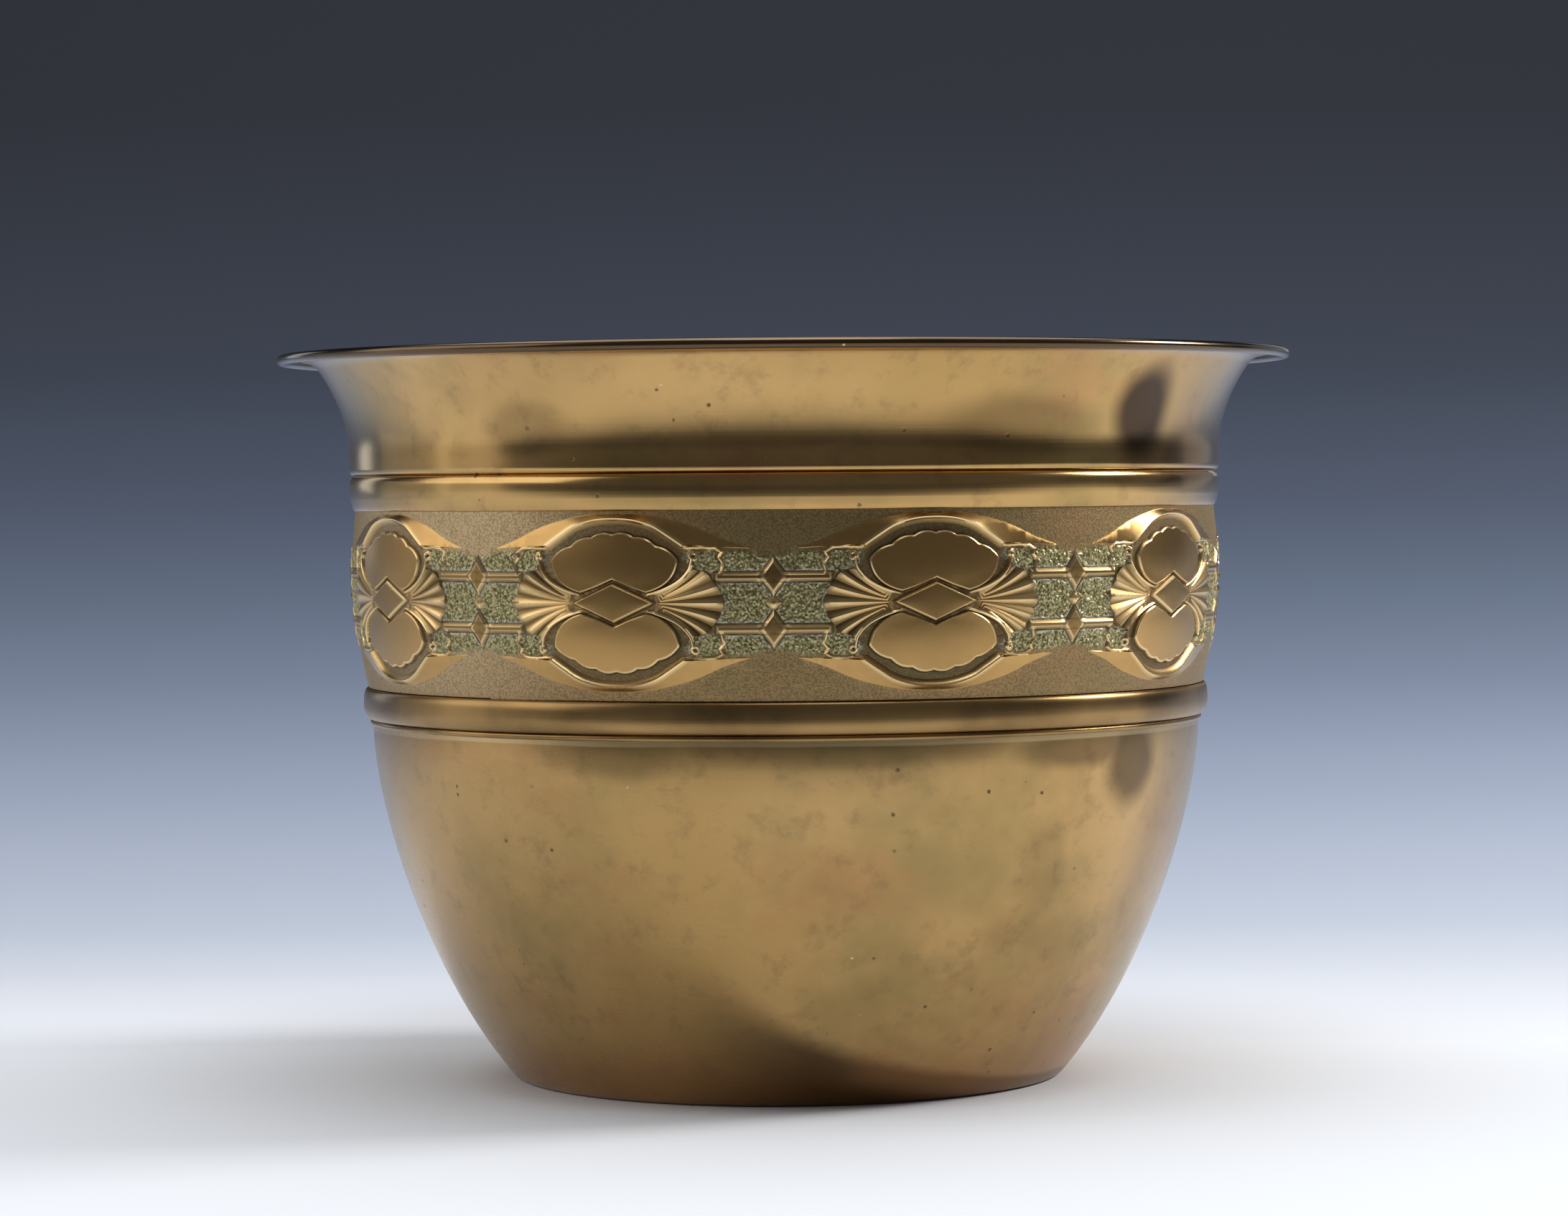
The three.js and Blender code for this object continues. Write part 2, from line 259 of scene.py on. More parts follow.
spunSheet = spunTree()


def spun(name, section, material, segments=288):
    vertices = [(r * mm, 0, z * mm) for r, z in section]
    edges = [(i, i + 1) for i in range(len(vertices) - 1)]
    obj = meshObject(name, vertices, [], edges)
    shaped(obj, spunSheet, {"segments": segments, "finish": material})
    finishShell(obj)
    middle = Vector((0, 0, sum(z for r, z in section) / len(section) * mm))
    facing = [float(vertex.normal.dot(vertex.co - middle) < 0) for vertex in obj.data.vertices]
    obj.data.attributes.new("inside", "FLOAT", "POINT").data.foreach_set("value", facing)
    return obj


# Materials
def color(r, g, b):
    return (r, g, b, 1.0)


def newFinish(name):
    material = bpy.data.materials.new(name)
    material.use_nodes = True
    material.node_tree.nodes.clear()
    tree = Tree(material.node_tree)
    return material, tree, tree.add("ShaderNodeTexCoord", None, "Object")


def closeFinish(tree, base, roughness, bumps, metallic=1.0, coat=0.0):
    surface = {
        "Base Color": base, "Roughness": roughness, "Metallic": metallic,
        "Coat Weight": coat, "Coat Roughness": 0.2,
    }
    for height, distance, strength in bumps:
        values = {"Height": height, "Distance": distance, "Strength": strength}
        if "Normal" in surface:
            values["Normal"] = surface["Normal"]
        surface["Normal"] = tree.add("ShaderNodeBump", values)
    shader = tree.add("ShaderNodeBsdfPrincipled", surface)
    tree.add("ShaderNodeOutputMaterial", {"Surface": shader})


spunBrassLook = {
    "gold": color(0.555, 0.342, 0.128),
    "honey": color(0.45, 0.275, 0.09),
    "olive": color(0.29, 0.21, 0.07),
    "copper": color(0.44, 0.215, 0.083),
    "umber": color(0.15, 0.09, 0.04),
    # the dark tone of pits and stains, also used for painted shade
    "pitAndShade": color(0.06, 0.036, 0.02),
    "fleck": color(0.80, 0.62, 0.34),
    "scale": color(0.36, 0.33, 0.24),
}
spunNoises = {  # scale, detail and roughness
    "cloud": (9, 4, 0.5), "veil": (13, 5, 0.6), "blotch": (30, 5, 0.6), "specks": (130, 5, 0.7),
    "dents": (16, 2, 0.5), "wander": (24, 3, 0.5), "few": (23, 1, 0.5), "sparse": (27, 1, 0.5),
    "crumbs": (900, 2, 0.5),
}
spunLayers = [  # noise, where it begins and is full, how much of it shows, and its tone
    ("veil", (0.47, 0.68), 0.7, "olive"),
    ("blush", (0.5, 0.7), 0.6, "copper"),
    ("blotch", (0.52, 0.7), 0.4, "olive"),
    ("specks", (0.5, 0.72), 0.3, "umber"),
]


def onWall(angle, radius, z):  # a spot on the wall, by its turn from the front
    turn = math.radians(angle)
    return (radius * math.sin(turn) * mm, -radius * math.cos(turn) * mm, z * mm)


def stainAndShadeMask(where, patch):  # a round patch with a ragged edge
    (x, y, z), (wide, tall), depth, ragged = patch
    across = where["flat"].distance((x, y, 0.0))
    rise = (where["height"] - z) * (wide / tall)
    reach = across.calc("SQRT", across * across + rise * rise) + where["wander"] * (wide * ragged)
    full, end = 0.45, 1.12
    return (1 - reach.band(wide * full, wide * end)) * depth


def paintedShadowMask(where, paintedShadow):  # painted shadow: dark below a line that falls to the right, on the front of the wall, standing in for the floor's shadow seen in it
    x, z = paintedShadow["at"]
    side = where["side"]
    edge = side.calc("EXPONENT", (side - x) / -paintedShadow["run"]) * z
    under = (where["height"] + where["wander"] * paintedShadow["ragged"]) / edge
    fade = paintedShadow["faint"] + side.band(*paintedShadow["grows"]) * (paintedShadow["depth"] - paintedShadow["faint"])
    front = (1 - where["back"].band(*paintedShadow["ends"])) * where["radius"].band(*paintedShadow["wall"])
    return (1 - under.band(*paintedShadow["edge"])) * front * fade


def ringMask(where, ring):  # a stripe all round, between two heights or two radii, and its tone
    measure, (low, high), soft, ragged, tone, depth = ring
    level = where[measure] + where["wander"] * ragged
    return level.band(low - soft, low) * (1 - level.band(high, high + soft)) * depth, tone


def spunBrass(name, satin, lightness, stainsAndShade, paintedShadows, rings):
    look = {key: color(*(part * lightness for part in tone[:3])) for key, tone in spunBrassLook.items()}
    material, tree, spot = newFinish(name)
    side, back, height = spot.axes()
    flat = tree.vector(side, back, 0.0)
    radius = tree.add("ShaderNodeVectorMath", {0: flat}, "Value", operation="LENGTH")
    noises = {key: spot.noise(*settings) for key, settings in spunNoises.items()}
    noises["blush"] = spot.stretched(17, 17, 26).noise(1.0, 5, 0.65)
    cloud = noises["cloud"]
    blotch = noises["blotch"]
    wander = noises["wander"] - 0.5
    where = {"side": side, "back": back, "height": height, "flat": flat, "radius": radius, "wander": wander}
    # tarnish in clouds, then the stains, the painted shade and the rings of this piece
    layers = [(noises[key].band(*span) * share, tone) for key, span, share, tone in spunLayers]
    masks = [stainAndShadeMask(where, patch) for patch in stainsAndShade] + [paintedShadowMask(where, paintedShadow) for paintedShadow in paintedShadows]
    tarnishAndShade = masks[0]
    for mask in masks[1:]:
        tarnishAndShade = tarnishAndShade.calc("MAXIMUM", mask, tarnishAndShade)
    layers += [(tarnishAndShade, "pitAndShade"), *(ringMask(where, ring) for ring in rings)]
    # the inside is duller, with marks of standing water
    inside = tree.add("ShaderNodeAttribute", None, "Fac", attribute_name="inside")
    inside = inside * (1 - height.band(0.182, 0.197))
    tide = tree.vector(side * 16, back * 16, height * 130).noise(1.0, 4, 0.6)
    layers += [(inside * (0.35 + blotch * 0.6), "umber"), (inside * tide.band(0.56, 0.7) * 0.6, "scale")]
    # pits, glints and spinning lines
    spots = spot.cells(130.0) + (noises["crumbs"] - 0.5) * 0.12
    pits = (1 - spots.band(0.04, 0.1)) * noises["few"].band(0.54, 0.62)
    glints = spot.stretched(1.0, 1.0, 1.3).cells(130.0)
    glints = (1 - glints.band(0.02, 0.07)) * noises["sparse"].band(0.58, 0.68)
    base = tree.mix(cloud.band(0.36, 0.66), look["honey"], look["gold"])
    for mask, tone in layers + [(pits * 0.8, "pitAndShade"), (glints, "fleck")]:
        base = tree.mix(mask, base, look[tone])
    lines = tree.vector(radius * 850, side * 4, height * 850).noise(1.0, 4, 0.7)
    roughness = cloud * 0.08 + blotch * 0.08 + lines * 0.04 + pits * 0.2 + inside * 0.16 + (satin - 0.1)
    bumps = [
        (noises["dents"], 0.0012, 0.2),
        (lines, 0.00006, 0.2),
        (1 - pits, 0.0001, 0.3),
    ]
    closeFinish(tree, base, roughness, bumps, 1.0, 0.35 - tarnishAndShade * 0.35)
    return material


bowlStainsAndShade = [  # place, half width and half height, depth, raggedness
    # painted shade: the first two stand in for a dark reflection on the right and the shadow under the
    # moulding beside it
    (onWall(53, 113, 90), (0.014, 0.015), 0.75, 0.6),
    (onWall(42, 113, 94.5), (0.028, 0.0065), 0.6, 0.6),
    (onWall(-24, 113, 94), (0.022, 0.007), 0.38, 1.0),
    (onWall(12, 113, 96), (0.05, 0.006), 0.4, 1.0),
    (onWall(38, 110, 62), (0.010, 0.024), 0.22, 1.6),
    (onWall(70, 110, 62), (0.03, 0.045), 0.3, 0.5),
    (onWall(150, 112, 88), (0.03, 0.014), 0.4, 1.0),
    (onWall(-115, 105, 45), (0.04, 0.02), 0.3, 1.2),
]
# painted shadow: the dark wedge at the lower front, as the wall would reflect the floor's shadow
bowlPaintedShadows = [{
    "at": (-0.003, 0.0265), "run": 0.042, "grows": (-0.035, 0.01), "faint": 0.06, "depth": 0.88,
    "ragged": 0.004, "edge": (0.66, 1.1), "ends": (-0.03, -0.005), "wall": (0.073, 0.0755),
}]
bowlRings = [  # measured by, span, softness, raggedness, tone, depth
    ("height", (-0.01, 0.006), 0.014, 0.02, "copper", 0.45),
    ("height", (0.0972, 0.0982), 0.0006, 0.001, "fleck", 0.4),
]
neckStainsAndShade = [
    # painted shade: the first three stand in for dark reflections on the neck, at the right and at the left
    (onWall(50, 122, 182), (0.0145, 0.017), 1.0, 0.4),
    (onWall(31, 121, 178), (0.03, 0.010), 0.5, 0.4),
    (onWall(-33, 121, 178), (0.015, 0.009), 0.42, 0.8),
    (onWall(165, 121, 175), (0.035, 0.009), 0.4, 1.0),
]
neckRimTarnishAndShade = [
    # the rim roll is painted almost black: its tarnish, and painted shade for the dark surroundings it
    # reflects
    ("radius", (0.1372, 0.2), 0.0006, 0.0006, "pitAndShade", 0.9),
]
bowlBrass = spunBrass("bowlBrass", 0.28, 0.93, bowlStainsAndShade, bowlPaintedShadows, bowlRings)
neckBrass = spunBrass("neckBrass", 0.19, 1.03, neckStainsAndShade, [], neckRimTarnishAndShade)


mouldingLook = {
    "gold": color(0.36, 0.225, 0.088),
    "umber": color(0.20, 0.122, 0.05),
    "roughness": 0.19,
}


def mouldingBrass():
    look = mouldingLook
    material, tree, spot = newFinish("mouldingBrass")
    cloud = spot.noise(30, 4)
    base = tree.mix(cloud.band(0.35, 0.7), look["umber"], look["gold"])
    lines = spot.stretched(3, 3, 1100).noise(1.0, 4, 0.7)
    roughness = cloud * 0.12 + lines * 0.05 + look["roughness"]
    closeFinish(tree, base, roughness, [(lines, 0.00006, 0.2), (spot.noise(60, 2), 0.0003, 0.12)])
    return material


beadBrass = mouldingBrass()


maskNames = ("polish", "coarse", "nook", "wearAndHighlight", "grain")  # attributes of the stamped face
stampedLook = {
    "polished": color(0.50, 0.30, 0.108),
    # worn edges and crests, brightened further as painted highlights
    "wornAndLit": color(0.82, 0.61, 0.31),
    "dull": color(0.355, 0.222, 0.095),
    "patina": color(0.31, 0.222, 0.092),
    "olive": color(0.15, 0.13, 0.045),
    "fleck": color(0.53, 0.465, 0.235),
    "powder": color(0.66, 0.67, 0.62),
    "soot": color(0.045, 0.037, 0.015),
    "paleLeft": color(0.65, 0.48, 0.265),
    "paleLeftAt": onWall(-50, 118, 152),
}


def stampedBrass():
    look = stampedLook
    material, tree, spot = newFinish("stampedBrass")
    masks = [tree.add("ShaderNodeAttribute", None, "Fac", attribute_name=name) for name in maskNames]
    polish, coarse, nook, wearAndHighlight, grain = masks
    cloud = spot.noise(45, 4, 0.6)
    dots = spot.noise(1900, 1)
    pebbles = spot.cells(1500.0)
    flecks = (1 - pebbles) * 0.5 + spot.noise(2600, 1) * 0.3 + grain * 0.2
    streaks = spot.stretched(160, 160, 1500).noise(1.0, 3, 0.6)
    # the ground: dull, paler round a spot at the left, with coarse flecks and powder in the panels
    ground = tree.mix(cloud.band(0.36, 0.66), look["dull"], look["patina"])
    ground = tree.mix(streaks.band(0.5, 0.75) * 0.4, ground, look["polished"])
    fromPaleLeft = spot.distance(look["paleLeftAt"])
    ground = tree.mix((1 - fromPaleLeft.band(0.02, 0.07)) * 0.75, ground, look["paleLeft"])
    ground = tree.mix(dots.band(0.4, 0.62) * 0.4, ground, look["soot"])
    ground = tree.mix(coarse, ground, tree.mix(flecks.band(0.36, 0.66), look["olive"], look["fleck"]))
    powder = nook * coarse
    ground = tree.mix(powder * flecks.band(0.3, 0.55), ground, look["powder"])
    # the tops: polished, and worn with painted highlights on edges and crests, with soot and painted shade in
    # the nooks
    top = tree.mix(wearAndHighlight, look["polished"], look["wornAndLit"])
    top = tree.mix(cloud.band(0.52, 0.75) * 0.35, top, look["dull"])
    base = tree.mix(polish, ground, top)
    base = tree.mix(nook * (1 - coarse) * (0.75 + cloud * 0.45), base, look["soot"])
    roughness = 0.44 - polish * 0.22 - coarse * 0.06 + cloud * 0.08 + nook * 0.15
    metallic = 0.7 + polish * 0.3 - coarse * 0.1 - powder * 0.5
    rough = (1 - polish) * (1 - coarse * 0.5)
    bumps = [(dots * rough, 0.0002, 0.5), (spot.noise(90, 2), 0.0003, 0.12)]
    closeFinish(tree, base, roughness, bumps, metallic)
    return material


friezeBrass = stampedBrass()
print("materials ready")


# Bowl
bowlSizes = {
    "sheet": 0.8, "baseRadius": 75.9, "baseEdge": 1.8, "radius": 114.5, "height": 98.2,
    "footRun": 23.8, "footRise": 27.5, "shoulderDrop": 22.8, "collar": 15.0,
}


def makeBowl(sheet, baseRadius, baseEdge, radius, height, footRun, footRise, shoulderDrop, collar):
    corner = np.array([baseRadius, 0])
    slope = np.array([footRun, footRise])
    wall = curve([corner, corner + slope, (radius, height - shoulderDrop), (radius, height)], 44)
    slant = corner + slope / np.linalg.norm(slope) * baseEdge
    flat = corner - (baseEdge, 0)
    outer = chain(
        np.linspace((0, 0), flat, 14),
        curve([flat, corner, slant], 6),
        wall[wall[:, 1] > slant[1] * 1.6],  # the wall well above the rounded edge
        [(radius, height + collar)],
    )
    inner = beside(outer, sheet)
    inner[0, 0] = 0
    return spun("bowl_skin", np.vstack([outer, inner[::-1]]), bowlBrass)


place(makeBowl(**bowlSizes), "bowl")


# Lower moulding
mouldingSizes = {
    "inner": 114.5, "foot": 98.2, "thread": 1.6, "threadProud": 0.75, "threadRound": 1.35, "threadTuck": 0.2,
    "groove": 0.25, "bead": 8.6, "beadProud": 2.6, "beadFoot": (0.5, 0.15), "beadRound": 2.2,
    "beadTop": (0.2, 0.3), "beadEdge": 1.1, "heel": 0.1, "lean": 0.2,
}


def makeMoulding(
    inner, foot, thread, threadProud, threadRound, threadTuck, groove,
    bead, beadProud, beadFoot, beadRound, beadTop, beadEdge, heel, lean,
):
    waist = foot + thread
    top = waist + bead
    middle = (waist + top) / 2
    outer = inner + beadProud
    full = inner + threadProud * threadRound
    start = (inner + heel, foot)
    notch = (inner + groove, waist)
    footIn, footUp = beadFoot
    topIn, topDown = beadTop
    low = middle - beadRound
    high = middle + beadRound
    section = chain(
        curve([start, (full, foot + heel), (full, waist - threadTuck), notch], 10),
        curve([notch, (outer - footIn, waist + footUp), (outer, low), (outer, middle)], 12),
        curve([(outer, middle), (outer, high), (outer - topIn, top - topDown), (outer - beadEdge, top)], 12),
        [(inner, top + lean), (inner, foot + lean), start],
    )
    return spun("moulding_ring", section, beadBrass)


place(makeMoulding(**mouldingSizes), "lower_moulding")


# Neck with its rolled lip, and the wire in the roll
neckSizes = {
    "sheet": 0.6, "radius": 120.5, "hem": 157.1, "hemRadius": 118.9, "groove": 166.8, "grooveRadius": 119.15,
    # how far the bends' corners are from the wall at the hem and at the groove
    "hemBend": ((-0.9, 0.1), (-0.65, 1.4), (-0.12, 3.6)),
    "shoulderBend": ((0, -3.2), (0, -1.5), (-0.3, -0.5)),
    "stepBend": ((-0.35, 0.15), (0, 0.6), (0, 1.8)),
    "flareFoot": 172.0, "flareCorner": 184.0, "flareReach": 8.2, "flareTop": 195.8,
    "lipPitch": 0.2, "lipBend": 2.6, "lipEnd": 0.9,
}
rimSizes = {"middle": (138.7, 198.6), "wire": 0.5, "curl": 0.8, "curlTurn": 285}


def makeNeck(
    sheet, radius, hem, hemRadius, groove, grooveRadius, hemBend, shoulderBend, stepBend,
    flareFoot, flareCorner, flareReach, flareTop, lipPitch, lipBend, lipEnd,
):
    hemCorner = np.array([radius, hem])
    grooveCorner = np.array([radius, groove])
    grooveFloor = (grooveRadius, groove)
    flareBend = np.array([radius, flareCorner])
    flareEnd = np.array([radius + flareReach, flareTop])
    # the lip starts where the flare's slope meets the lip's own
    edge = np.array(rimSizes["middle"]) + (0, rimSizes["curl"])
    steep = (flareEnd[1] - flareBend[1]) / (flareEnd[0] - flareBend[0])
    run = (edge[1] - flareEnd[1] - lipPitch * (edge[0] - flareEnd[0])) / (steep - lipPitch)
    lipCorner = flareEnd + (run, run * steep)
    lip = curve([flareEnd, lipCorner, lipCorner + (lipBend, lipBend * lipPitch)], 10)
    turns = np.radians(90 - np.linspace(0, rimSizes["curlTurn"], 26))
    face = chain(
        curve([(hemRadius, hem), *(hemCorner + hemBend)], 12),
        curve([*(grooveCorner + shoulderBend), grooveFloor], 10),
        curve([grooveFloor, *(grooveCorner + stepBend)], 8),
        curve([(radius, flareFoot), flareBend, flareEnd], 22),
        lip,
        np.linspace(lip[-1], edge - (lipEnd, lipEnd * lipPitch), 5),
        arc(rimSizes["middle"], rimSizes["curl"], turns)[1:],
    )
    section = np.vstack([face, beside(face, sheet)[::-1], face[:1]])
    return spun("neck_sheet", section, neckBrass)


def makeRimWire():
    circle = arc(rimSizes["middle"], rimSizes["wire"], np.linspace(0, 2 * math.pi, 13))
    return spun("rim_wire_core", circle, beadBrass, 192)


place(makeNeck(**neckSizes), "neck")
place(makeRimWire(), "rim_wire")


# Frieze band: one flat repeat of the stamped strip, then repeated and bent to a hoop
friezeSizes = {
    "repeats": 9, "sheet": 0.6, "foot": 108.7, "height": 48.3, "border": 8.6,
    "footRadius": 115.754, "middleRadius": 119.454, "topRadius": 118.954,
    "seamTurn": -41.4, "slit": 0.05, "seamLag": 0.35, "lagFade": 45, "lift": 0.85,
    "columns": 40, "backRows": 29, "backShare": 0.7, "backSpread": 0.7,
    "stippleHeight": 0.34, "stippleSeed": 7, "stipplePower": 1.3,
}
halfPitch = math.pi * friezeSizes["middleRadius"] / friezeSizes["repeats"]
halfHeight = friezeSizes["height"] / 2
swellRadius = 2 * friezeSizes["middleRadius"] - (friezeSizes["footRadius"] + friezeSizes["topRadius"]) / 2
lobeSizes = {
    "end": (17.6, 11.0), "crown": 24.4, "bumps": 6, "bump": 1.5, "flank": (17.0, 4.3), "foot": (9.0, 2.5),
}
fanSizes = {  # angles in degrees and reach from the root, with 1 on a rib and 0 between two
    "root": 9, "start": 3, "run": 17, "lean": 0.62,
    "angles": (0, 6.6, 13.2, 20, 27, 33, 38),
    "reach": (20.2, 19.5, 19.0, 18.0, 17.6, 16.2, 15.2),
    "rib": (1, 0, 1, 0, 1, 0, 1),
    "creases": (0, 2.6, 4.9, 6.6, 8.4, 10.8, 13.2, 15.7, 18.2, 20, 21.8, 24.4, 27, 29.3, 31.5, 33, 35),
}


def lobeOutline(end, crown, bumps, bump, flank, foot):
    right = np.array(end)
    mirror = np.array([-1, 1])
    notches = curve([right, (0, crown), right * mirror], bumps)
    scallops = []
    for first, second in zip(notches, notches[1:]):
        outward = np.array([second[1] - first[1], first[0] - second[0]])
        outward /= np.linalg.norm(outward)
        scallops.append(curve([first, (first + second) / 2 + outward * bump, second], 8)[:-1])
    side = curve([right, flank, foot], 14)
    notch = [(-4.5, 3.95), (0, 5.85), (4.5, 3.95)]  # over the diamond
    return np.vstack(scallops + [side * mirror, notch, side[::-1][:-1]])


def fanLean(reach):  # ribs curl away from the middle as they go out
    sizes = fanSizes
    return sizes["lean"] + (1 - sizes["lean"]) * np.clip((reach - sizes["start"]) / sizes["run"], 0, 1)


def fanSpot(angle, reach):
    turn = math.radians(angle) * fanLean(reach)
    return (fanSizes["root"] + reach * math.cos(turn), reach * math.sin(turn))


def fanOutline():
    ends = list(zip(fanSizes["angles"], fanSizes["reach"]))
    ends.insert(0, (-ends[1][0], ends[1][1]))
    arcs = []
    for first, crown, second in zip(ends[::2], ends[1::2], ends[2::2]):
        corners = [np.array(fanSpot(*end)) for end in (first, crown, second)]
        arcs.append(curve([corners[0], 2 * corners[1] - (corners[0] + corners[2]) / 2, corners[2]], 8)[:-1])
    return np.vstack(arcs + [[fanSpot(*end) for end in ends[-2:]]])


def kite(u, v, across, up):
    return np.array([(u + across, v), (u, v + up), (u - across, v), (u, v - up)], float)


def box(left, right, low, high):
    return np.array([(left, low), (right, low), (right, high), (left, high)])


archSteps = 9
pastSeam = halfPitch + 2  # shapes that go on into the next repeat
motif = {  # lines and outlines in one quarter of the repeat, from its middle
    "diamond": kite(0, 0, 11.7, 5.2),
    "lobe": lobeOutline(**lobeSizes),
    "arch": through(
        [(-5.5, 21.2), (0, 21.6), (5.5, 21.2), (10.7, 19.7), (14.6, 17.4), (18.7, 14.7)], archSteps),
    "wingEdge": through(
        [(-8.5, 22.2), (0, 22.55), (8.5, 22.2), (19.8, 19.7), (28.5, 16.2), (35.4, 13.9)], 10),
    "wingUnder": np.array([(18.7, 14.7), (24.2, 14.45), (29.8, 14.2), (35.4, 13.9)]),
    "rim": through([(21.1, 11.15), (20.3, 8.4), (17.7, 5.6), (13.7, 3.5), (9.3, 2.1)], 8),
    "curl": (21.4, 11.9),
    "bar": box(26.6, pastSeam, 5.2, 8.0),
    "star": kite(halfPitch, 6.75, 3.9, 5.3),
    "stud": kite(halfPitch, 0, 2.2, 2.2),
    "bracket": np.array(
        [(19.4, 14.0), (23.5, 14.1), (26.8, 13.9), (28.6, 12.9), (27.9, 11.6), (29.0, 10.2), (28.4, 7.8)]),
    "fanEnd": fanOutline(),
}
motif["wing"] = np.vstack([motif["arch"], motif["wingUnder"][1:-1], motif["wingEdge"][::-1]])
motif["fan"] = np.vstack(
    [[(11.6, -2), (28, -2)], motif["fanEnd"], beside(motif["rim"][2:-4], 0.5), [(11.6, 1.2)]])
halfEye = np.vstack([motif["arch"][archSteps:], [motif["curl"]], motif["rim"], [(0, 5.4)]])
motif["eye"] = np.vstack([halfEye, halfEye[::-1] * (-1, 1)])  # the sunk field round the lobe
panels = [  # where the ground between the motifs is coarsely stippled
    np.vstack([[(20.0, 7.4)], motif["bracket"][:1:-1], motif["bracket"][:1]]),
    np.vstack([
        [(28.4, 7.8), (pastSeam, 7.6), (pastSeam, 11.0), (38.5, 12.2), (33.5, 13.2)], motif["bracket"][3:6]]),
    box(26.0, pastSeam, -1, 5.4),
]


def toLine(points, line):  # how far each point is from a line, and where along it
    start = line[:-1]
    step = np.diff(line, axis=0)
    length = np.maximum((step**2).sum(1), 1e-12)
    offset = points[:, None, :] - start[None]
    t = np.clip((offset * step).sum(2) / length, 0, 1)
    gap = np.linalg.norm(offset - t[..., None] * step, axis=2)
    best = gap.argmin(1)
    rows = np.arange(len(points))
    return gap[rows, best], (best + t[rows, best]) / len(step)


def inRing(points, ring):
    hit = np.zeros(len(points), bool)
    for (ax, ay), (bx, by) in zip(ring, np.roll(ring, -1, axis=0)):
        crosses = (ay > points[:, 1]) != (by > points[:, 1])
        hit ^= crosses & (points[:, 0] < (bx - ax) * (points[:, 1] - ay) / (by - ay + 1e-15) + ax)
    return hit


onEdge = 1e-4  # points this close to an outline belong to it


def depthIn(points, ring):  # distance inside a closed outline, below zero outside it
    gap = toLine(points, np.vstack([ring, ring[:1]]))[0]
    return np.where(inRing(points, ring) | (gap < onEdge), gap, -gap)


def deepest(points, rings):
    return np.max([depthIn(points, ring) for ring in rings], axis=0)


# Relief of the stamped face
outlineTops = {  # height, and wear with painted highlight, by the depth inside an outline, and creases of the mesh
    "diamond": (
        ((0, 0.3, 0.6, 3), (0.3, 0.95, 1.22, 1.26)),
        ((0, 0.3, 0.6, 0.8), (0.3, 1, 1, 0)), (0.3, 0.6, 0.85)),
    "lobe": (((0, 0.2, 0.5), (0.05, 0.65, 0.85)), ((0, 0.2, 0.5, 0.8), (0.3, 1, 0.9, 0)), (0.2, 0.5, 0.8)),
    "bar": (((0, 1.0, 1.4), (0.02, 0.7, 0.74)), ((0, 0.3, 0.95, 1.1), (0.3, 1, 1, 0)), (1.0, 1.15)),
    "star": (((0, 1.0, 1.5), (0.02, 0.8, 0.86)), ((0, 0.3, 0.95, 1.3), (0.3, 1, 1, 0)), (1.0, 1.3)),
    "stud": (((0, 0.9, 1.5), (0.02, 0.6, 0.7)), ((0, 0.3, 0.9, 1.2), (0.3, 1, 1, 0)), (0.9,)),
}
lineRidges = {  # height, and wear with painted highlight, by the distance from a line
    "arch": (((0, 0.3, 0.8, 1.7), (1.2, 1.05, 0.4, -0.25)), ((0, 0.4, 0.9), (1, 0.8, 0))),
    "rim": (((0, 0.25, 0.6), (1.0, 0.85, -0.25)), ((0, 0.3, 0.5), (1, 0.8, 0.1))),
    "bracket": (((0, 0.2, 0.55), (0.6, 0.5, 0)), ((0, 0.25, 0.5), (1, 0.8, 0.1))),
}
reliefSizes = {
    "eye": -0.25, "dome": (0.16, 10.6, 17, 6.6), "wing": (0.12, 1.08), "archEdge": 0.02,
    "rimFall": 0.45, "rimReach": 0.62, "bracketReach": 0.57, "curl": (0.8, 0.6, 0.6, 0.4, 0.2),
    "rib": (0.3, 0.75), "valley": (0.1, 0.75), "valleyShape": 1.3,
}
dullAndShadedMiddles = {  # the depth from which a top is dull and darker, and how much: tarnish, and painted shade for the dark the top reflects
    "diamond": (0.85, 0.36), "star": (1.3, 0.5), "bar": (1.15, 0.55),
    "stud": (1.2, 0.45), "lobe": (0.8, 0.1), "wing": (0.5, 0.1),
}
# dirt and painted shade in the hollows of the stamped face
dirtAndShade = {
    "eye": 0.4, "arch": (0.5, 1.3), "curl": 0.9, "curlHole": 0.45,
    "fan": 0.68, "fanShare": 0.8, "fanSoft": 0.3, "feet": 0.7, "feetRun": 0.25, "panelRun": 0.8,
}
partNames = ("diamond", "lobe", "wing", "arch", "rim", "curl", "bracket", "bar", "star", "stud", "fan")
missing = -9  # the height of a piece where it isn't


def fanRibs(points):  # how far along its rib each point is, and how far down beside it
    sizes = fanSizes
    out = points[:, 0] - sizes["root"]
    reach = np.hypot(out, points[:, 1])
    angle = np.degrees(np.arctan2(np.abs(points[:, 1]), out)) / fanLean(reach)
    end = np.interp(angle, sizes["angles"], sizes["reach"])
    along = np.clip((reach - sizes["start"]) / (end - sizes["start"]), 0, 1)
    return along, 1 - np.interp(angle, sizes["angles"], sizes["rib"])


